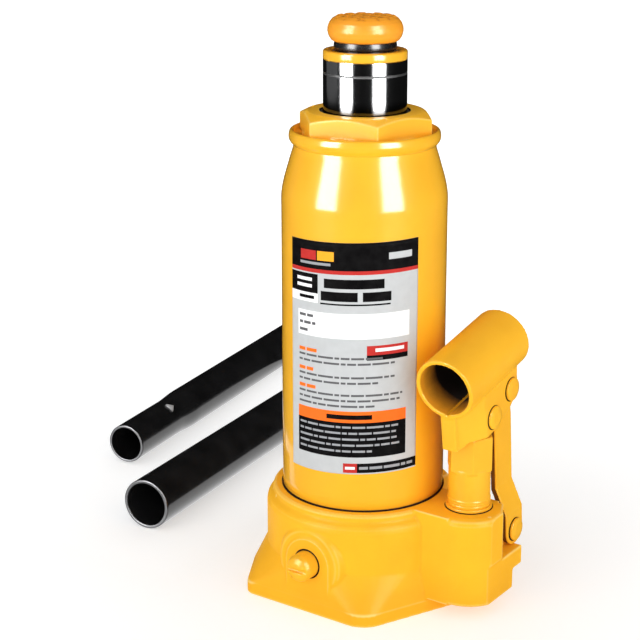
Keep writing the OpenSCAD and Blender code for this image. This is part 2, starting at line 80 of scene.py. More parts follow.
# ---------------------------------------------------------------- materials
class Mat:
    """A small helper around one node tree with a Principled shader."""

    def __init__(self, name):
        self.material = bpy.data.materials.new(name)
        self.material.use_nodes = True
        self.tree = self.material.node_tree
        self.shader = self.tree.nodes["Principled BSDF"]
        self.place = self.tree.nodes.new("ShaderNodeTexCoord").outputs["Object"]

    def put(self, socket, value):
        """Sets one of the shader's sockets to a plain value."""
        self.shader.inputs[socket].default_value = value

    def link(self, output, socket):
        self.tree.links.new(output, socket)

    def feed(self, socket, output):
        """Drives one of the shader's sockets from another node."""
        self.link(output, self.shader.inputs[socket])

    def node(self, kind, **props):
        n = self.tree.nodes.new(kind)
        for prop, value in props.items():
            setattr(n, prop, value)
        return n

    def noise(self, scale, detail=3, rough=0.5, stretch=None):
        n = self.node("ShaderNodeTexNoise")
        n.inputs["Scale"].default_value = scale
        n.inputs["Detail"].default_value = detail
        n.inputs["Roughness"].default_value = rough
        self.link(self.scaled(stretch) if stretch else self.place, n.inputs["Vector"])
        return n.outputs["Fac"]

    def scaled(self, scale):
        """The object's own coordinates, each times its share of scale."""
        n = self.node("ShaderNodeMapping")
        n.inputs["Scale"].default_value = scale
        self.link(self.place, n.inputs["Vector"])
        return n.outputs["Vector"]

    def upward(self, vector):
        """The Z share of a vector: a height, or how far a face looks up."""
        n = self.node("ShaderNodeSeparateXYZ")
        self.link(vector, n.inputs[0])
        return n.outputs["Z"]

    def span(self, fac, low, high, out_low, out_high):
        """fac from low to high becomes out_low to out_high, held level beyond both."""
        n = self.node("ShaderNodeMapRange", clamp=True)
        n.inputs["From Min"].default_value = low
        n.inputs["From Max"].default_value = high
        n.inputs["To Min"].default_value = out_low
        n.inputs["To Max"].default_value = out_high
        self.link(fac, n.inputs["Value"])
        return n.outputs["Result"]

    def ramp(self, fac, stops):
        """The colour that fac picks between (position, colour) stops."""
        n = self.node("ShaderNodeValToRGB")
        elements = n.color_ramp.elements
        while len(elements) < len(stops):
            elements.new(0.5)
        for element, (position, colour) in zip(elements, stops):
            element.position = position
            element.color = (*colour, 1)
        self.link(fac, n.inputs["Fac"])
        return n.outputs["Color"]

    def mix(self, fac, a, b):
        """Colour a where fac is 0 and colour b where it is 1."""
        n = self.node("ShaderNodeMix", data_type="RGBA")
        for value, socket in ((a, n.inputs[6]), (b, n.inputs[7])):
            if isinstance(value, tuple):
                socket.default_value = (*value, 1)
            else:
                self.link(value, socket)
        self.link(fac, n.inputs[0])
        return n.outputs[2]

    def times(self, a, b):
        n = self.node("ShaderNodeMath", operation="MULTIPLY")
        self.link(a, n.inputs[0])
        self.link(b, n.inputs[1])
        return n.outputs["Value"]

    def bump(self, height, strength, distance, previous=None):
        n = self.node("ShaderNodeBump")
        n.inputs["Strength"].default_value = strength
        n.inputs["Distance"].default_value = distance
        self.link(height, n.inputs["Height"])
        if previous:
            self.link(previous, n.inputs["Normal"])
        self.feed("Normal", n.outputs["Normal"])
        return n.outputs["Normal"]

    def sharpness(self):
        """About 0.5 on flats, higher on outer edges and lower in creases."""
        return self.node("ShaderNodeNewGeometry").outputs["Pointiness"]


WHITE, BLACK = (1, 1, 1, 1), (0, 0, 0, 1)
# Pale yellow of the painted highlights on edges.
EDGE_HIGHLIGHT = (1.0, 0.80, 0.30)
FOOT_SHADE_FULL, FOOT_SHADE_GONE = 0.008, 0.021
RIM_FADE_IN, RIM_FADE_OUT, RIM_FACING = (0.0040, 0.0047), (0.0053, 0.0060), (0.08, 0.25)


def foot_shade_and_rim_highlight(s, colour, deep, low, edge):
    """Painted shade near the floor, and a painted highlight along the top edge of a 5 mm rim."""
    height = s.upward(s.place)
    # painted shade: towards the floor the colour mixes towards the deep colour, most below 8 mm and none
    # above 21 mm
    colour = s.mix(s.span(height, FOOT_SHADE_FULL, FOOT_SHADE_GONE, low, 0.0), colour, deep)
    facing_up = s.upward(s.node("ShaderNodeNewGeometry").outputs["Normal"])
    # painted highlight: a pale band round the rim's top edge, about 5 mm up, on faces that look upwards
    line = s.times(s.span(height, *RIM_FADE_IN, 0, 1), s.span(height, *RIM_FADE_OUT, 1, 0))
    rim = s.times(line, s.span(facing_up, *RIM_FACING, 0.0, edge))
    return s.mix(rim, colour, EDGE_HIGHLIGHT)


def enamel(name, base, deep, cast=0.0, coat=0.5, gloss=0.34, film=0.14, edge=0.0, low=0.0, shine=0.12):
    """Thick sprayed enamel: a faint mottle, painted shade in creases, with orange peel.

    cast is the roughness of the casting under it, film the blur of its clear coat. edge
    is the strength of a painted highlight on outer edges, and low of painted shade over the lowest 20 mm of
    the foot."""
    s = Mat(name)
    shade = tuple(0.84 * a + 0.16 * b for a, b in zip(base, deep))
    mottle = s.ramp(s.noise(55, 4, 0.55), [(0.3, base), (0.75, shade)])
    # painted shade: creases, where pointiness is low, take the deep colour
    crease_shade = s.span(s.sharpness(), 0.40, 0.49, 1.0, 0.0)
    colour = s.mix(crease_shade, mottle, deep)
    # painted shade near the floor and a painted highlight on the rim's top edge
    if low:
        colour = foot_shade_and_rim_highlight(s, colour, deep, low, edge)
    # painted highlight: outer edges, where pointiness is high, are lightened towards pale yellow
    if edge:
        colour = s.mix(s.span(s.sharpness(), 0.507, 0.54, 0.0, edge), colour, EDGE_HIGHLIGHT)
    s.feed("Base Color", colour)
    s.feed("Roughness", s.span(s.noise(900, 2), 0.3, 0.7, gloss - 0.04, gloss + 0.06))
    s.put("Coat Weight", coat)
    s.put("Coat Roughness", film)
    s.put("Coat IOR", 1.5)
    s.put("Specular IOR Level", shine)
    peel = s.bump(s.noise(620, 2, 0.4), 0.25, 0.00012)
    if cast:
        s.bump(s.noise(260, 5, 0.6), cast, 0.0005, peel)
    return s.material


def metal(name, base, rough, spread=0.08):
    """Turned or ground metal with fine tool marks across it."""
    s = Mat(name)
    marks = s.noise(240, 5, 0.65, (1, 1, 60))
    dark = tuple(c * 0.75 for c in base)
    s.feed("Base Color", s.ramp(marks, [(0.3, dark), (0.65, base)]))
    s.put("Metallic", 1.0)
    s.feed("Roughness", s.span(marks, 0.3, 0.7, rough, rough + spread))
    s.bump(marks, 0.25, 0.00006)
    return s.material


def matt(name, base, rough=0.6, shine=0.5):
    """A fine matt grain with paler dust: rubber, and painted shade in gaps and on the straps' front edges.
    """
    s = Mat(name)
    s.put("Specular IOR Level", shine)
    dusty = tuple(min(1, c * 1.9 + 0.01) for c in base)
    s.feed("Base Color", s.ramp(s.noise(120, 4, 0.6), [(0.35, base), (0.8, dusty)]))
    s.feed("Roughness", s.span(s.noise(700, 3), 0.3, 0.7, rough, rough + 0.15))
    s.bump(s.noise(1050, 3), 0.3, 0.00008)
    return s.material


def print_ink(name, base):
    """Ink under a dull film, with the faint waviness of a stuck-on label."""
    s = Mat(name)
    pale = tuple(min(1, c * 1.05 + 0.004) for c in base)
    s.feed("Base Color", s.ramp(s.noise(300, 3, 0.5), [(0.35, base), (0.7, pale)]))
    s.feed("Roughness", s.span(s.noise(500, 2), 0.3, 0.7, 0.47, 0.55))
    s.put("Specular IOR Level", 0.012)
    s.bump(s.noise(90, 2, 0.4), 0.12, 0.0002)
    return s.material


GOLD, GOLD_DEEP = (0.98, 0.50, 0.022), (0.66, 0.20, 0.006)
yellow = enamel("yellow_enamel", GOLD, GOLD_DEEP, coat=1.0, film=0.085)
# The foot's enamel has painted highlights on its edges and painted shade near the floor.
yellow_cast = enamel("yellow_cast_enamel", GOLD, GOLD_DEEP, cast=0.4, coat=0.05, gloss=0.45, film=0.27,
                     edge=0.5, low=0.16, shine=0.03)
yellow_press = enamel("yellow_pressed_enamel", GOLD, GOLD_DEEP, cast=0.12, coat=0.25, film=0.2)
# The nut's enamel has painted highlights on its outer edges.
yellow_turned = enamel("yellow_turned_enamel", GOLD, GOLD_DEEP, cast=0.1, coat=0.25, film=0.2, edge=0.35)
orange = enamel("saddle_enamel", (0.96, 0.37, 0.02), (0.60, 0.13, 0.004), cast=0.3, film=0.22)
bare = metal("turned_steel", (0.55, 0.55, 0.56), 0.28)
dark_steel = metal("oiled_steel", (0.20, 0.20, 0.21), 0.34)
copper = metal("copper_washer", (0.70, 0.36, 0.18), 0.3)
bright = metal("bright_edge", (0.86, 0.86, 0.87), 0.25, spread=0.2)
# Dark metal for the painted shade in the ram's shallow groove.
groove_shade = metal("painted_groove_shade", (0.10, 0.10, 0.10), 0.5)
worn = metal("worn_rim", (0.17, 0.17, 0.175), 0.4)
rubber = matt("black_rubber", (0.012, 0.012, 0.013))
# Near-black matt for painted shade in gaps and crevices.
gap_shade = matt("painted_gap_shade", (0.016, 0.006, 0.002), 0.8, shine=0.05)
# Dark brown matt for the painted shade on the straps' front edges.
strap_edge_shade = matt("painted_strap_edge_shade", (0.11, 0.042, 0.006), 0.8, shine=0.05)
pierced = matt("pierced_edge", (0.42, 0.42, 0.43), 0.5)

BAND_OFF, BAND_ON = (0, 0, 0), (1, 1, 1)
SHADE_BAND_LOW, SHADE_BAND_TOP, SHADE_BAND = 0.203, 0.213, (0.10, 0.10, 0.10)


def chrome_plate():
    """Honed chrome, with a dark band of painted shade where the wiper meets the rod at rest."""
    s = Mat("hard_chrome")
    hone = s.noise(160, 4, 0.6, (1, 1, 90))
    plate = s.ramp(hone, [(0.3, (0.80, 0.81, 0.83)), (0.7, (0.90, 0.905, 0.915))])
    # painted shade: a dark band round the rod at the wiper's height at rest
    height = s.span(s.upward(s.place), SHADE_BAND_LOW, SHADE_BAND_TOP, 0.0, 1.0)
    rod_shade_band = s.ramp(height, [(0.0, BAND_OFF), (0.2, BAND_ON), (0.62, BAND_ON), (1.0, BAND_OFF)])
    s.feed("Base Color", s.mix(rod_shade_band, plate, SHADE_BAND))
    s.put("Metallic", 1.0)
    s.feed("Roughness", s.span(hone, 0.3, 0.7, 0.07, 0.11))
    s.bump(hone, 0.05, 0.00003)
    return s.material


JET, WORN_JET = (0.006, 0.006, 0.0065), (0.016, 0.016, 0.017)


def black_gloss(name, rough, coat):
    """Black paint or oxide with fine grain over a slow waviness."""
    s = Mat(name)
    s.feed("Base Color", s.ramp(s.noise(80, 4, 0.6), [(0.35, JET), (0.8, WORN_JET)]))
    s.feed("Roughness", s.span(s.noise(420, 3), 0.3, 0.7, rough, rough + 0.08))
    s.put("Coat Weight", coat)
    s.put("Coat Roughness", 0.05)
    grain = s.bump(s.noise(500, 2, 0.4), 0.2, 0.0001)
    s.bump(s.noise(35, 2, 0.4), 0.12, 0.0006, grain)
    return s.material


chrome = chrome_plate()
tube_black = black_gloss("tube_black", 0.16, 0.5)
screw_black = black_gloss("oxide_black", 0.22, 0.12)


# ---------------------------------------------------------------- mesh helpers
ON_AXIS = 1e-6
ONTO = {
    "X": Matrix.Rotation(math.pi / 2, 4, "Y"),
    "Y": Matrix.Rotation(-math.pi / 2, 4, "X"),
    "Z": Matrix(),
}


def new_object(name, mesh):
    ob = bpy.data.objects.new(name, mesh)
    scene.collection.objects.link(ob)
    return ob


def object_from(bm, name):
    """An object that takes over the finished mesh in bm."""
    mesh = bpy.data.meshes.new(name)
    bm.to_mesh(mesh)
    bm.free()
    return new_object(name, mesh)


def dress(ob, body, mats, nodes=()):
    """Gives ob its materials, the body it rides and the CAD nodes it stands for."""
    ob.data.materials.clear()
    for m in mats:
        ob.data.materials.append(m)
    for poly in ob.data.polygons:
        poly.use_smooth = True
    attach(ob, body)
    if nodes:
        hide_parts(*nodes)


def paint(ob, index, chosen):
    """Gives the faces that chosen picks, by their centre in mm, the material at index."""
    for poly in ob.data.polygons:
        if chosen(poly.center / MM, poly.normal):
            poly.material_index = index


def baked(ob):
    """ob with its modifiers applied."""
    graph = bpy.context.evaluated_depsgraph_get()
    mesh = bpy.data.meshes.new_from_object(ob.evaluated_get(graph))
    old = ob.data
    ob.modifiers.clear()
    ob.data = mesh
    bpy.data.meshes.remove(old)
    return ob


def softened(node, name, voxel, passes):
    """The node's shape with all edges and corners rounded, as casting, pressing and paint leave them."""
    ob = new_object(name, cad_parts[node].data.copy())
    remesh = ob.modifiers.new("remesh", "REMESH")
    remesh.mode = "VOXEL"
    remesh.voxel_size = voxel * MM
    smooth = ob.modifiers.new("smooth", "SMOOTH")
    smooth.factor = 0.5
    smooth.iterations = passes
    return baked(ob)


def rounded(points, radius, steps=4):
    """A closed outline with its corners rounded. A point's third number is its own radius."""
    out = []
    for i, (x, z, *own) in enumerate(points):
        p = Vector((x, z))
        back = Vector(points[i - 1][:2]) - p
        on = Vector(points[(i + 1) % len(points)][:2]) - p
        r = own[0] if own else radius
        longest = 0.45 * min(back.length, on.length)
        back.normalize()
        on.normalize()
        turn = math.acos(max(-1, min(1, back.dot(on))))
        if r <= 0 or x < ON_AXIS or turn > math.pi - 0.02:
            out.append(p)
            continue
        cut = min(r / math.tan(turn / 2), longest)
        r = cut * math.tan(turn / 2)
        centre = p + (back + on).normalized() * (r / math.sin(turn / 2))
        first, last = p + back * cut - centre, p + on * cut - centre
        sweep = first.angle_signed(last)
        for k in range(steps + 1):
            out.append(centre + Matrix.Rotation(-sweep * k / steps, 2) @ first)
    return out


def lathe(name, outline, steps=160, centre=(0, 0, 0), axis="Z"):
    """Revolves a closed (r, z) outline in mm about an axis through centre."""
    bm = bmesh.new()
    rings = []
    for r, z in outline:
        angles = [TAU * k / steps for k in range(steps)] if r >= ON_AXIS else [0]
        rings.append([bm.verts.new((r * MM * math.cos(a), r * MM * math.sin(a), z * MM)) for a in angles])
    for a, b in zip(rings, rings[1:] + rings[:1]):
        if len(a) == 1 and len(b) == 1:
            continue
        for k in range(steps):
            k2 = (k + 1) % steps
            quad = [a[k % len(a)], a[k2 % len(a)], b[k2 % len(b)], b[k % len(b)]]
            corners = list(dict.fromkeys(quad))
            if len(corners) > 2:
                bm.faces.new(corners)
    bmesh.ops.recalc_face_normals(bm, faces=bm.faces)
    bm.transform(Matrix.Translation(mm(*centre)) @ ONTO[axis])
    return object_from(bm, name)


# ---------------------------------------------------------------- named sizes, from the CAD model
def span(node, axis):
    """How far a CAD node reaches along one axis, low and high, in mm."""
    low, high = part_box(node)
    return low[axis] / MM, high[axis] / MM


def middle(node, axis):
    """The middle of a CAD node along one axis, in mm."""
    return sum(span(node, axis)) / 2


TANK_R = span("reservoir_tank", 0)[1]
BASE_H = span("base_casting", 2)[1]
LIP_TOP = span("reservoir_tank", 2)[1]
RAM_R = span("ram_rod", 0)[1]
RAM_LOW, RAM_TOP = span("ram_rod", 2)
COLLAR_LOW, COLLAR_TOP = span("ram_collar", 2)
SADDLE_LOW = span("saddle", 2)[0]
PUMP_X = middle("pump_cylinder", 0)
PUMP_Y = middle("plunger_pin", 1)

# ---------------------------------------------------------------- foot casting
foot = softened("base_casting", "foot_casting", 0.5, 3)
dress(foot, "jack_body", [yellow_cast], ["base_casting"])

# ---------------------------------------------------------------- tank
SHOULDER_LOW, SHOULDER_TOP, SHOULDER_R = 172, 191.5, 29.8
NECK_R, LIP_R, WALL, LIP_SINK, LIP_WALL = 26, 31.4, 2.4, 1.8, 2
SIDE_LOW, SIDE_ROWS = BASE_H + 0.8, 24


def smooth_curve(points, steps=6):
    """Catmull-Rom through the points, for drawn sheet that has no corners."""
    pts = [Vector(q) for q in points]
    ends = [pts[0]] + pts + [pts[-1]]
    out = []
    for p0, p1, p2, p3 in zip(ends, ends[1:], ends[2:], ends[3:]):
        for k in range(steps):
            t = k / steps
            out.append(0.5 * ((2 * p1) + (p2 - p0) * t + (2 * p0 - 5 * p1 + 4 * p2 - p3) * t * t
                              + (3 * p1 - p0 - 3 * p2 + p3) * t ** 3))
    return out + [pts[-1]]


shoulder = smooth_curve([
    (TANK_R, SHOULDER_LOW - 6), (TANK_R, SHOULDER_LOW), (TANK_R - 0.5, SHOULDER_LOW + 4),
    (TANK_R - 1.4, SHOULDER_LOW + 8), (TANK_R - 2.7, SHOULDER_LOW + 12.5), (TANK_R - 3.7, SHOULDER_LOW + 16),
    (SHOULDER_R, SHOULDER_TOP), (SHOULDER_R - 0.35, SHOULDER_TOP + 1.7),
])
bead = smooth_curve([
    (SHOULDER_R - 0.35, SHOULDER_TOP + 1.9), (LIP_R - 1, SHOULDER_TOP + 2.8),
    (LIP_R - 0.25, SHOULDER_TOP + 4), (LIP_R, SHOULDER_TOP + 5.4),
    (LIP_R - 0.25, LIP_TOP - 1), (LIP_R - 0.7, LIP_TOP - 0.25), (LIP_R - 1.2, LIP_TOP),
    (LIP_R - 1.65, LIP_TOP - 0.2), (LIP_R - LIP_WALL + 0.02, LIP_TOP - 0.7),
])
side_tall = SHOULDER_LOW - 7 - BASE_H
tank_side = [(TANK_R, SIDE_LOW + side_tall * k / SIDE_ROWS) for k in range(SIDE_ROWS)]
tank = lathe("oil_tank", [
    (TANK_R - WALL, BASE_H + 0.5), (TANK_R - 0.5, BASE_H + 0.35), *tank_side, *shoulder, *bead,
    (LIP_R - LIP_WALL, LIP_TOP - LIP_SINK), (NECK_R, LIP_TOP - LIP_SINK), (NECK_R, SHOULDER_TOP - 4),
    (TANK_R - WALL, SHOULDER_LOW - 2),
], 240)
dress(tank, "jack_body", [yellow], ["reservoir_tank"])

# ---------------------------------------------------------------- gland nut and wiper
NUT_SHADE_R = 18.85
GUIDE_TOP, WIPER_R, WIPER_EDGE, WIPER_TIP = 201, 18.44, 206.7, 207.2

nut = softened("gland_nut", "gland_nut_painted", 0.4, 3)
dress(nut, "jack_body", [yellow_turned, gap_shade], ["gland_nut"])
# painted shade: the nut's inner edge round the ram takes the dark gap material
paint(nut, 1, lambda p, normal: math.hypot(p.x, p.y) < NUT_SHADE_R)

wiper = lathe("wiper_lip", rounded([
    (RAM_R + 0.03, GUIDE_TOP + 0.1), (WIPER_R, GUIDE_TOP + 0.1), (WIPER_R, WIPER_EDGE, 0.4),
    (17.9, WIPER_TIP, 0.3), (17.6, WIPER_TIP - 0.9, 0.2), (RAM_R + 0.03, WIPER_TIP - 0.8, 0.1),
], 0.15), 160)
dress(wiper, "jack_body", [rubber], ["wiper_seal"])

# ---------------------------------------------------------------- ram and its collar
GROOVE = RAM_TOP - 5.6
TAIL_R, TAIL_TOP = 11, 55
HOLE_R, HOLE_LOW = 13.06, 138
BAND_IN, BAND_LOW = 13.7, COLLAR_LOW + 0.1
EDGE_IN, EDGE_OUT = 13.08, 13.65

ram = lathe("chrome_ram", rounded([
    (0, RAM_LOW), (TAIL_R, RAM_LOW), (TAIL_R, TAIL_TOP, 0), (RAM_R, TAIL_TOP, 0.5),
    (RAM_R, GROOVE - 0.5, 0.15), (RAM_R - 0.06, GROOVE, 0.1), (RAM_R, GROOVE + 0.5, 0.15),
    (RAM_R, RAM_TOP, 0.3), (HOLE_R, RAM_TOP, 0.3), (HOLE_R, HOLE_LOW), (0, HOLE_LOW),
], 0.2), 240)
dress(ram, "ram", [chrome, groove_shade], ["ram_rod"])
# painted shade: the faces of the 0.06 mm groove take the dark metal
paint(ram, 1, lambda p, normal: abs(p.z - GROOVE) < 0.42 and normal.z ** 2 < 0.9)

collar = lathe("ram_top_band", rounded([
    (BAND_IN, BAND_LOW, 0), (RAM_R, BAND_LOW, 0.25), (RAM_R, COLLAR_TOP, 0.9),
    (BAND_IN + 0.7, COLLAR_TOP, 0.4), (BAND_IN, COLLAR_TOP - 0.7, 0.2),
], 0.2), 200)
dress(collar, "ram", [yellow], ["ram_collar"])

bevel_ring = lathe("ram_bore_edge", rounded([
    (EDGE_IN, BAND_LOW), (EDGE_OUT, BAND_LOW), (EDGE_OUT, COLLAR_TOP - 0.75, 0.1),
    (EDGE_IN, COLLAR_TOP - 1.3, 0.1),
], 0.1), 160)
dress(bevel_ring, "ram", [bright])


# ---------------------------------------------------------------- extension screw and saddle
CREST, ROOT, PITCH = 12.94, 11.6, 3.0
SCREW_LOW = span("extension_screw", 2)[0]
NECK_LOW, SCREW_TOP = SADDLE_LOW - 3.4, SADDLE_LOW + 0.1
AROUND, ROW_TALL = 96, 0.25


def screw_radius(z, angle):
    """The thread's radius at one height and angle, and above it the plain neck's."""
    if z > NECK_LOW:
        return CREST - 0.35 + 0.3 * math.sin(math.pi * (z - NECK_LOW) / (SCREW_TOP - NECK_LOW))
    phase = ((z - SCREW_LOW) / PITCH - angle / TAU) % 1
    tooth = min(1, max(0, 1.55 - abs(phase - 0.5) * 4.4))
    run_in = min(1, (z - SCREW_LOW) / 2.5, (NECK_LOW - z) / 1.2)
    return ROOT + (CREST - ROOT) * tooth * max(0, run_in)


def helical_screw():
    """The screw's real thread, cut as a helix inside the CAD screw's crest radius."""
    bm = bmesh.new()
    rows = int((SCREW_TOP - SCREW_LOW) / ROW_TALL)
    grid = []
    for i in range(rows + 1):
        z = SCREW_LOW + (SCREW_TOP - SCREW_LOW) * i / rows
        ring = []
        for k in range(AROUND):
            angle = TAU * k / AROUND
            r = screw_radius(z, angle) * MM
            ring.append(bm.verts.new((r * math.cos(angle), r * math.sin(angle), z * MM)))
        grid.append(ring)
    for below, above in zip(grid, grid[1:]):
        for k in range(AROUND):
            k2 = (k + 1) % AROUND
            bm.faces.new((below[k], below[k2], above[k2], above[k]))
    bm.faces.new(grid[0][::-1])
    bm.faces.new(grid[-1])
    return object_from(bm, "threaded_screw")


dress(helical_screw(), "screw", [screw_black], ["extension_screw"])
saddle = softened("saddle", "saddle_cap", 0.3, 3)
dress(saddle, "screw", [orange], ["saddle"])

# ---------------------------------------------------------------- pump
RING_IN, RING_OUT = 8.86, 9.75
RING_LOW, RING_TOP = BASE_H + 0.25, BASE_H + 1.4

pump = softened("pump_cylinder", "pump_barrel", 0.24, 2)
dress(pump, "jack_body", [yellow_press], ["pump_cylinder"])
washer = lathe("pump_base_ring", rounded([
    (RING_IN, RING_LOW), (RING_OUT, RING_LOW, 0.2), (RING_OUT, RING_TOP, 0.6), (RING_IN, RING_TOP, 0.1),
], 0.2), 120, (PUMP_X, PUMP_Y, 0))
dress(washer, "jack_body", [yellow_press], ["pump_washer"])
plunger = softened("pump_plunger", "plunger_rod", 0.3, 3)
dress(plunger, "plunger", [bare], ["pump_plunger"])

# ---------------------------------------------------------------- release valve
valve = softened("release_valve", "release_valve_stub", 0.28, 4)
dress(valve, "valve", [yellow_press], ["release_valve"])


# ---------------------------------------------------------------- linkage
HEAD_TALL, SHANK_R = 1.4, 3.38
LINK_FACE, SOCKET_FACE = 11.7, 11
GAP_SHIFT, GAP_IN, GAP_OUT = 0.34, 0.5, 0.28
VALVE_FACE = -42.5
STRAP_BEND_LOW, STRAP_BEND_TOP, STRAP_OUT_LOW, STRAP_OUT_TOP = 38.7, 50.5, 11.7, 6.9
STRAP_EYE_LOW, STRAP_EYE_TOP = 24, 84


def head_radius(node):
    low, high = span(node, 2)
    return (high - low) / 2


def pin(name, node, body):
    """A riveted pin along X with slightly domed heads."""
    x0, x1 = span(node, 0)
    r, half = head_radius(node), (x1 - x0) / 2
    face, dome, under = half - 0.55, r * 0.55, half - HEAD_TALL
    outline = [(0, -half), (dome, -half, 0.6), (r, -face, 0.7), (r, -under, 0.1), (SHANK_R, -under, 0),
               (SHANK_R, under, 0), (r, under, 0.1), (r, face, 0.7), (dome, half, 0.6), (0, half)]
    centre = [middle(node, axis) for axis in range(3)]
    ob = lathe(name, rounded(outline, 0.2), 96, centre, "X")
    dress(ob, body, [yellow_press], [node])


def crevice(name, centre, axis, inner, outer, low, high, body):
    """A thin dark ring of painted shade round a part that sits in or on another."""
    ob = lathe(name, [(inner, low), (outer, low), (outer, high), (inner, high)], 96, centre, axis)
    dress(ob, body, [gap_shade])


def pin_crevices(name, node, body, face):
    """Painted shade: a dark hairline ring round both heads of a pin, against the plate."""
    r = head_radius(node)
    y, z = middle(node, 1) - GAP_SHIFT, middle(node, 2)
    for tag, side in (("outer", 1), ("inner", -1)):
        centre = (PUMP_X + side * face, y, z)
        crevice(name + "_" + tag, centre, "X", r - GAP_IN, r + GAP_OUT, -0.09, 0.09, body)


# Rings of painted shade round the pin heads, the valve stub, the pump barrel and the foot of the tank.
pin_crevices("lower_pin_gap", "link_foot_pin", "link", LINK_FACE)
pin_crevices("upper_pin_gap", "link_top_pin", "socket", SOCKET_FACE)
pin_crevices("plunger_pin_gap", "plunger_pin", "socket", SOCKET_FACE)
valve_gap = (middle("release_valve", 0), VALVE_FACE, middle("release_valve", 2))
crevice("valve_gap", valve_gap, "Y", 5.84, 6.5, -0.1, 0.1, "jack_body")
crevice("pump_gap", (PUMP_X, PUMP_Y, BASE_H), "Z", 8.9, 10.15, -0.04, 0.06, "jack_body")
crevice("tank_gap", (0, 0, BASE_H), "Z", TANK_R - 0.5, TANK_R + 0.55, -0.04, 0.06, "jack_body")

pin("lower_link_pin", "link_foot_pin", "jack_body")
pin("upper_link_pin", "link_top_pin", "socket")
pin("plunger_link_pin", "plunger_pin", "socket")


def strap_out(z):
    """Half the spread over the straps' outer faces at height z, in mm."""
    t = min(1, max(0, (z - STRAP_BEND_LOW) / (STRAP_BEND_TOP - STRAP_BEND_LOW)))
    return STRAP_OUT_LOW + (STRAP_OUT_TOP - STRAP_OUT_LOW) * t


def on_shaded_strap_edge(p, normal):
    """The straps' front edges between their eyes, which take painted shade, but not the yellow corner
    outside.
    """
    if normal.y >= -0.6 or not STRAP_EYE_LOW < p.z < STRAP_EYE_TOP:
        return False
    return strap_out(p.z) - abs(p.x - PUMP_X) > 0.8


for side in ("right", "left"):
    node = "link_strap_" + side
    strap = softened(node, "link_plate_" + side, 0.3, 4)
    dress(strap, "link", [yellow_press, strap_edge_shade], [node])
    # painted shade: the straps' front edges are dark brown
    paint(strap, 1, on_shaded_strap_edge)

# ---------------------------------------------------------------- handle socket
SOCKET_TILT = math.radians(12.15)
MOUTH = mm(PUMP_X, -19.6, 102)
BORE_R = 11.2
ALONG_BORE = Vector((0, math.cos(SOCKET_TILT), math.sin(SOCKET_TILT)))
SHADE_START, SHADE_FULL, RAGGED = 0.004, 0.015, 0.004
INNER_PAINT, BORE_SHADE_COLOUR = (0.86, 0.36, 0.02), (0.010, 0.007, 0.006)


def bore_shade():
    """Painted shade in the bore: a little way in from the mouth the orange goes to near black, with a ragged
    edge.
    """
    s = Mat("socket_bore")
    from_mouth = s.node("ShaderNodeVectorMath", operation="SUBTRACT")
    s.link(s.place, from_mouth.inputs[0])
    from_mouth.inputs[1].default_value = MOUTH
    depth = s.node("ShaderNodeVectorMath", operation="DOT_PRODUCT")
    s.link(from_mouth.outputs["Vector"], depth.inputs[0])
    depth.inputs[1].default_value = ALONG_BORE
    ragged = s.node("ShaderNodeMath", operation="MULTIPLY_ADD")
    s.link(s.noise(220, 4, 0.6), ragged.inputs[0])
    ragged.inputs[1].default_value = RAGGED
    s.link(depth.outputs["Value"], ragged.inputs[2])
    fade = s.span(ragged.outputs["Value"], SHADE_START, SHADE_FULL, 0.0, 1.0)
    s.feed("Base Color", s.mix(fade, INNER_PAINT, BORE_SHADE_COLOUR))
    s.feed("Roughness", s.span(fade, 0, 1, 0.35, 0.75))
    s.put("Specular IOR Level", 0.1)
    s.bump(s.noise(500, 3), 0.2, 0.0001)
    return s.material


def in_bore(p, normal):
    from_mouth = p - MOUTH / MM
    depth = from_mouth.dot(ALONG_BORE)
    return (from_mouth - ALONG_BORE * depth).length < BORE_R + 0.5 and depth > 0.7


socket = softened("handle_socket", "pressed_socket", 0.42, 6)
dress(socket, "socket", [yellow_press, bore_shade()], ["handle_socket"])
# painted shade: the faces inside the bore take the darkening bore material
paint(socket, 1, in_bore)


# ---------------------------------------------------------------- filler plug
def filler():
    """A rubber plug in the back of the tank: a stem with a flange outside and a dimple in it."""
    x, y, z = (middle("filler_plug", axis) for axis in range(3))
    stem, flange = 4.46, 6.4
    outline = [(0, TANK_R - 4.8), (3.6, TANK_R - 4.8, 0.6), (5.2, TANK_R - 3.6, 0.4),
               (stem, TANK_R - 2.4, 0.1), (stem, TANK_R + 0.3, 0), (flange, TANK_R + 0.1, 0.2),
               (flange, TANK_R + 1.3, 0.6), (2.4, TANK_R + 1.9, 0.5), (1.6, TANK_R + 1.5, 0.3),
               (0, TANK_R + 1.5)]
    ob = lathe("tank_filler_plug", rounded(outline, 0.2), 72, axis="X")
    ob.data.transform(Matrix.Translation(mm(0, 0, z)) @ Matrix.Rotation(math.atan2(y, x), 4, "Z"))
    dress(ob, "jack_body", [rubber], ["filler_plug"])


filler()


# ---------------------------------------------------------------- handle tubes
TUBE_L, PLUG_L, TAPER_L = 260, 42, 18
WIDE_AT, WIDE_TURN, WIDE_R, WIDE_BORE = (-110.6, -17.4), 7.8, 12, 10.3
SLIM_AT, SLIM_TURN, SLIM_R, PLUG_R, SLIM_BORE = (-172.3, 37.4), 10.3, 10.9, 10.0, 8.6
SKIN, RIM = 0.02, 0.45


def tube_frame(start, turn_deg, high):
    return Matrix.Translation(mm(*start, high)) @ Matrix.Rotation(math.radians(turn_deg), 4, "Z")


def rim_shrink(s):
    """How far the rolled rim has drawn in, s mm along the tube."""
    e = min(s, TUBE_L - s)
    return 0 if e >= RIM else RIM - math.sqrt(max(0, RIM ** 2 - (RIM - e) ** 2))


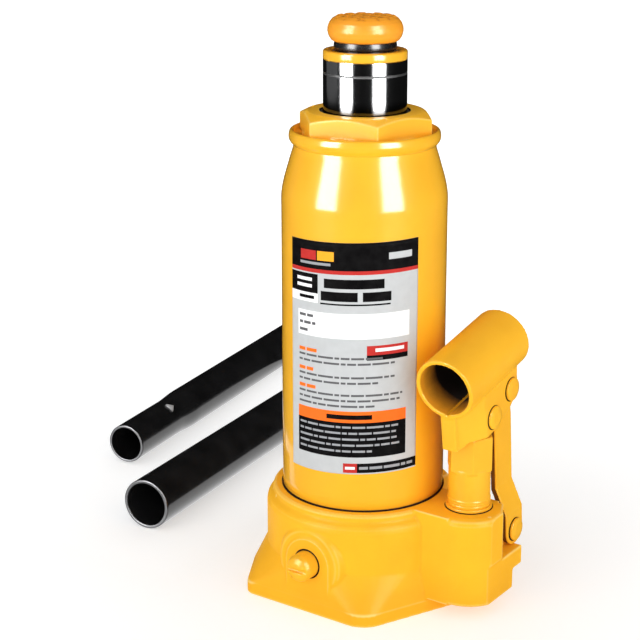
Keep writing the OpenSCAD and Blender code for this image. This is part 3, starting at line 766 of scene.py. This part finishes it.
def tube(name, node, body, radius_at, bore, place):
    """A drawn tube along +Y with rolled rims, worn bare at both ends."""
    end = [0, RIM * 0.3, RIM, 1.4]
    stations = [*end, *range(4, TUBE_L - 3, 2), *[TUBE_L - s for s in reversed(end)]]
    outline = [(radius_at(s) - SKIN - rim_shrink(s), s) for s in stations]
    outline += [(bore + SKIN + rim_shrink(s) * 0.6, s) for s in reversed(stations)]
    ob = lathe(name, outline, 112, axis="Y")
    ob.data.transform(place)
    back = place.inverted()

    def on_rim(p, normal):
        x, s, z = back @ (p * MM) / MM
        mid = (radius_at(s) + bore) / 2
        return min(s, TUBE_L - s) < 0.16 and abs(math.hypot(x, z) - mid) < 0.62

    dress(ob, body, [tube_black, worn], [node])
    paint(ob, 1, on_rim)


def wide_radius(s):
    return WIDE_R


def slim_radius(s):
    """The plug end is drawn down and swells smoothly to the full tube."""
    t = min(1, max(0, (s - PLUG_L) / TAPER_L))
    return PLUG_R + (SLIM_R - PLUG_R) * t * t * (3 - 2 * t)


slim_place = tube_frame(SLIM_AT, SLIM_TURN, SLIM_R)
tube("wide_handle_tube", "handle_tube_wide", "wide_tube", wide_radius, WIDE_BORE,
     tube_frame(WIDE_AT, WIDE_TURN, WIDE_R))
tube("slim_handle_tube", "handle_tube_slim", "slim_tube", slim_radius, SLIM_BORE, slim_place)


def stop_tab():
    """The pierced three-cornered tab that stands out of the slim tube and stops its plug end."""
    size, lift, sink, at, roll = 3.2, 1.1, 0.3, PLUG_L - 6.5, math.radians(32)
    bm = bmesh.new()
    corners = (-size * 0.9, 0), (size * 0.9, 0), (0, size * 1.55)
    low = [bm.verts.new(mm(x, at + y, PLUG_R - sink - 0.06 * abs(x))) for x, y in corners]
    high = [bm.verts.new(mm(x * 0.86, at + y * 0.9 + 0.1, PLUG_R + lift * (1 - y / (size * 2.2))))
            for x, y in corners]
    bm.faces.new(low[::-1])
    bm.faces.new(high)
    for k in range(3):
        k2 = (k + 1) % 3
        bm.faces.new((low[k], low[k2], high[k2], high[k]))
    bmesh.ops.bevel(bm, geom=bm.edges[:], offset=0.16 * MM, segments=2, affect="EDGES")
    bmesh.ops.recalc_face_normals(bm, faces=bm.faces)
    bm.transform(slim_place @ Matrix.Rotation(roll, 4, "Y"))
    dress(object_from(bm, "slim_tube_stop_tab"), "slim_tube", [pierced])


stop_tab()


# ---------------------------------------------------------------- tank label
LABEL_LOW, LABEL_TOP = span("tank_label", 2)
LABEL_TALL = LABEL_TOP - LABEL_LOW
LABEL_WRAP, LABEL_MID = math.radians(96), math.radians(-65.7)
LABEL_R = TANK_R + 0.12
LABEL_WIDE = LABEL_WRAP * LABEL_R
FILM_OUT, FILM_IN = LABEL_R + 0.06, LABEL_R - 0.08
ASKEW = 0.036
INKS = {
    "paper": (0.53, 0.545, 0.55),
    "white": (0.93, 0.93, 0.94),
    "black": (0.0035, 0.0032, 0.0035),
    "red": (0.52, 0.035, 0.03),
    "amber": (0.95, 0.42, 0.03),
    "orange": (0.94, 0.17, 0.02),
    "grey": (0.12, 0.12, 0.125),
    "pale": (0.34, 0.35, 0.37),
}


def printed_blocks():
    """The label's colour blocks and bars, as (left, right, low, top, ink) in mm. No lettering."""
    blocks = [(0, LABEL_WIDE, LABEL_LOW, LABEL_TOP, "paper")]

    def put(x0, x1, top, low, ink):
        """A block from x0 to x1 across the film and top to low down it, as shares of its size."""
        blocks.append((x0 * LABEL_WIDE, x1 * LABEL_WIDE,
                       LABEL_TOP - low * LABEL_TALL, LABEL_TOP - top * LABEL_TALL, ink))

    def lines(x0, ends, top, step, thick, ink):
        """Stacked thin bars in place of small print, each broken into runs of uneven length."""
        for k, x1 in enumerate(ends):
            x, run = x0, 0
            while x < x1 - 0.015:
                run += 1
                piece = 0.035 + 0.028 * ((run * 5 + k * 3) % 4)
                put(x, min(x1, x + piece), top + step * k, top + step * k + thick, ink)
                x += piece + 0.011

    # header and its rule
    put(0, 1, 0, 0.118, "black")
    put(0, 1, 0.118, 0.134, "red")
    put(0.105, 0.245, 0.040, 0.080, "red")
    put(0.255, 0.385, 0.040, 0.080, "amber")
    put(0.10, 0.36, 0.089, 0.100, "pale")
    put(0.77, 0.945, 0.046, 0.074, "paper")
    # badge block with stripes at the left edge, plain title bars beside it
    put(0, 0.26, 0.140, 0.222, "black")
    put(0.065, 0.21, 0.158, 0.172, "white")
    put(0.065, 0.21, 0.186, 0.200, "white")
    put(0, 0.26, 0.222, 0.262, "white")
    put(0.09, 0.23, 0.234, 0.248, "black")
    put(0.31, 0.74, 0.154, 0.194, "black")
    put(0.285, 0.555, 0.208, 0.248, "black")
    put(0.59, 0.79, 0.208, 0.248, "black")
    put(0.28, 0.785, 0.258, 0.265, "black")
    # white panel with three short bars
    put(0.075, 0.93, 0.300, 0.408, "white")
    lines(0.09, (0.22, 0.24, 0.17), 0.315, 0.032, 0.012, "grey")
    # small red and black block at the right
    put(0.62, 0.92, 0.437, 0.478, "red")
    put(0.62, 0.92, 0.478, 0.500, "black")
    put(0.68, 0.89, 0.449, 0.464, "white")
    # three groups of one heading bar and fine grey lines
    groups = (0.462, 0.26, (0.74, 0.82)), (0.545, 0.22, (0.82, 0.70)), (0.622, 0.24, (0.88, 0.86, 0.70))
    for top, head_end, ends in groups:
        lines(0.085, (head_end,), top, 0.1, 0.015, "orange")
        lines(0.085, ends, top + 0.026, 0.024, 0.009, "grey")
    # closing orange band with a dark bar, black panel with pale lines
    put(0.075, 0.91, 0.722, 0.772, "orange")
    put(0.33, 0.66, 0.738, 0.758, "black")
    put(0.075, 0.91, 0.772, 0.925, "black")
    lines(0.095, (0.85, 0.84, 0.84, 0.86, 0.66), 0.788, 0.0265, 0.009, "pale")
    # strip at the foot, run out to the right edge
    put(0.455, 0.555, 0.952, 0.994, "red")
    put(0.555, 1.0, 0.952, 0.994, "black")
    put(0.47, 0.54, 0.967, 0.979, "white")
    lines(0.57, (0.97,), 0.967, 0.1, 0.012, "pale")

    return blocks


def cuts(values, low, high, step):
    """All the values within low and high, in order, with more between where they lie over step apart."""
    keep = sorted({min(high, max(low, round(v, 4))) for v in values})
    out = []
    for a, b in zip(keep, keep[1:]):
        n = max(1, math.ceil((b - a) / step))
        out += [a + (b - a) * k / n for k in range(n)]
    return out + [keep[-1]]


def around(rows, columns):
    """The grid's border as (row, column) pairs, once round."""
    last_row, last_column = rows - 1, columns - 1
    bottom = [(0, j) for j in range(last_column)]
    right = [(i, last_column) for i in range(last_row)]
    top = [(last_row, j) for j in range(last_column, 0, -1)]
    left = [(i, 0) for i in range(last_row, 0, -1)]
    return bottom + right + top + left


def label():
    """A film wrapped round the tank and stuck on two degrees askew, each block of it in its own ink."""
    names = list(INKS)
    blocks = printed_blocks()
    xs = cuts([v for block in blocks for v in block[:2]], 0, round(LABEL_WIDE, 4), 0.9)
    zs = cuts([v for block in blocks for v in block[2:4]], round(LABEL_LOW, 4), round(LABEL_TOP, 4), 2.5)
    bm = bmesh.new()

    def vert(x, z, r):
        a = LABEL_MID - LABEL_WRAP / 2 + x / LABEL_R
        z += ASKEW * (x - LABEL_WIDE / 2)
        return bm.verts.new(mm(r * math.cos(a), r * math.sin(a), z))

    def ink_at(x, z):
        """The index of the last block laid over this place."""
        return [names.index(ink) for x0, x1, z0, z1, ink in blocks if x0 <= x <= x1 and z0 <= z <= z1][-1]

    outer, inner = ([[vert(x, z, r) for x in xs] for z in zs] for r in (FILM_OUT, FILM_IN))
    cells = list(itertools.product(range(len(zs) - 1), range(len(xs) - 1)))
    for i, j in cells:
        face = bm.faces.new((outer[i][j], outer[i][j + 1], outer[i + 1][j + 1], outer[i + 1][j]))
        face.material_index = ink_at((xs[j] + xs[j + 1]) / 2, (zs[i] + zs[i + 1]) / 2)
    for i, j in cells:
        bm.faces.new((inner[i + 1][j], inner[i + 1][j + 1], inner[i][j + 1], inner[i][j]))
    border = around(len(zs), len(xs))
    for (a, b), (c, d) in zip(border, border[1:] + border[:1]):
        bm.faces.new((outer[a][b], inner[a][b], inner[c][d], outer[c][d]))
    bmesh.ops.recalc_face_normals(bm, faces=bm.faces)
    ob = object_from(bm, "label_film")
    inked = [poly.material_index for poly in ob.data.polygons]
    dress(ob, "jack_body", [print_ink("ink_" + n, INKS[n]) for n in names], ["tank_label"])
    for poly, ink in zip(ob.data.polygons, inked):
        poly.material_index = ink


label()

# ---------------------------------------------------------------- CAD nodes that stay
STAYING = {
    "tank_seal": rubber, "pump_packing": rubber, "piston_seal": rubber, "valve_packing": rubber,
    "plunger_seal": rubber, "cylinder_seal": copper, "inner_cylinder": bare, "inlet_ball": bare,
    "outlet_ball": bare, "valve_ball": bare, "ram_piston": dark_steel, "screw_stop_ring": dark_steel,
}
for node, mat in STAYING.items():
    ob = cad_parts[node]
    ob.data.materials.clear()
    ob.data.materials.append(mat)

# ---------------------------------------------------------------- floor
NEAR_FLOOR, FAR_FLOOR, FLOOR_SINK = 0.62, 8, 0.0002
PALE, PALER = (0.66, 0.66, 0.66), (0.69, 0.69, 0.69)


def floor_material():
    """Pale sheet that runs out to plain white with distance, as a studio sweep does."""
    s = Mat("studio_floor")
    s.feed("Base Color", s.ramp(s.noise(3, 2), [(0.3, PALE), (0.7, PALER)]))
    s.put("Roughness", 0.8)
    s.put("Specular IOR Level", 0.1)
    nearness = s.node("ShaderNodeTexGradient", gradient_type="SPHERICAL")
    s.link(s.scaled((0.9, 0.9, 0.9)), nearness.inputs["Vector"])
    s.put("Emission Color", WHITE)
    s.feed("Emission Strength", s.span(nearness.outputs["Fac"], 0.5, 0.93, 0.92, 0.46))
    return s.material


def circle(bm, radius, steps=96):
    angles = [TAU * k / steps for k in range(steps)]
    return [bm.verts.new((radius * math.cos(a), radius * math.sin(a), 0)) for a in angles]


def floor_piece(name, inner, outer, material):
    """A disc in the floor, or a flat ring where inner isn't 0."""
    bm = bmesh.new()
    hole = circle(bm, inner) if inner else []
    edge = circle(bm, outer)
    if hole:
        for a, b, c, d in zip(hole, edge, edge[1:] + edge[:1], hole[1:] + hole[:1]):
            bm.faces.new((a, b, c, d))
    else:
        bm.faces.new(edge)
    ob = object_from(bm, name)
    ob.data.materials.append(material)
    ob.location.z = -FLOOR_SINK
    ob.visible_glossy = False


floor = floor_material()
floor_piece("floor_near", 0, NEAR_FLOOR, floor)
floor_piece("floor_far", NEAR_FLOOR, FAR_FLOOR, floor)

CARD_CORNERS = (-0.185, -0.05), (-0.070, -0.05), (-0.095, 0.22), (-0.220, 0.22)
CARD_HIGH = 0.00015


# The black tubes mirror the pale floor beside them. The floor itself is left out of
# reflections, so that it puts no pale edge on the enamel; this card stands in for it.
def tube_card():
    m = Mat("tube_reflection_card")
    m.put("Base Color", BLACK)
    m.put("Emission Color", WHITE)
    m.feed("Emission Strength", m.span(m.noise(6, 2), 0.3, 0.7, 0.85, 1.0))
    bm = bmesh.new()
    bm.faces.new([bm.verts.new((x, y, CARD_HIGH)) for x, y in CARD_CORNERS])
    ob = object_from(bm, "tube_reflection_card")
    ob.data.materials.append(m.material)
    ob.visible_camera = False
    ob.visible_diffuse = False
    ob.visible_shadow = False
    ob.visible_transmission = False


tube_card()

# ---------------------------------------------------------------- world
FILL, MIRROR = 0.54, 0.005
world = bpy.data.worlds.new("studio")
scene.world = world
world.use_nodes = True
tree = world.node_tree
tree.nodes.clear()
out = tree.nodes.new("ShaderNodeOutputWorld")
path = tree.nodes.new("ShaderNodeLightPath")


def wash(strength):
    """Even white light from all round."""
    n = tree.nodes.new("ShaderNodeBackground")
    n.inputs["Color"].default_value = WHITE
    n.inputs["Strength"].default_value = strength
    return n.outputs[0]


def choose(ray, otherwise, chosen):
    """chosen for rays of that kind and otherwise for all others."""
    n = tree.nodes.new("ShaderNodeMixShader")
    tree.links.new(path.outputs[ray], n.inputs[0])
    tree.links.new(otherwise, n.inputs[1])
    tree.links.new(chosen, n.inputs[2])
    return n.outputs[0]


indirect = choose("Is Glossy Ray", wash(FILL), wash(MIRROR))
tree.links.new(choose("Is Camera Ray", indirect, wash(1.0)), out.inputs["Surface"])


# ---------------------------------------------------------------- lights
def softbox(name, turn_deg, distance, wide, low, high, radiance, diffuse=True, glossy=True):
    """An upright panel, turn_deg to the right of the camera as seen from the jack."""
    a = math.radians(turn_deg)
    toward = -AWAY * math.cos(a) + RIGHT * math.sin(a)
    data = bpy.data.lights.new(name, "AREA")
    data.shape = "RECTANGLE"
    data.size = wide
    data.size_y = high - low
    data.energy = radiance * math.pi * wide * (high - low)
    ob = bpy.data.objects.new(name, data)
    scene.collection.objects.link(ob)
    ob.location = toward * distance + Vector((0, 0, (low + high) / 2))
    ob.rotation_euler = (-toward).to_track_quat("-Z", "Y").to_euler()
    ob.visible_diffuse = diffuse
    ob.visible_glossy = glossy


# Each strip is seen only in reflections. It is five panels, one within the other and each a
# little farther off, so that its reflection has soft edges.
STRIP_TURNS = {"left": -53.7, "right": 37.4}
STRIP_WIDE, STRIP_LOW, STRIP_TOP = 0.76, -0.02, 1.42
INSET, RISE, STEP_BACK = 0.038, 0.018, 0.01
RADIANCES = 0.25, 0.9, 4, 7, 8

for side, turn in STRIP_TURNS.items():
    for ring, radiance in enumerate(RADIANCES):
        inset = INSET * ring
        softbox("strip_%s_%d" % (side, ring), turn, 1 + STEP_BACK * ring, STRIP_WIDE - 2 * inset,
                STRIP_LOW + RISE * ring, STRIP_TOP - 1.8 * inset, radiance, diffuse=False)
softbox("edge_left", -105, 1.0, 0.9, 0.05, 1.3, 0.07, diffuse=False)
for name, turn, radiance in (("key_left", -42, 1.4), ("key_front", 0, 0.75), ("key_right", 52, 1.1)):
    softbox(name, turn, 1.0, 0.8, 0.05, 1.1, radiance, glossy=False)
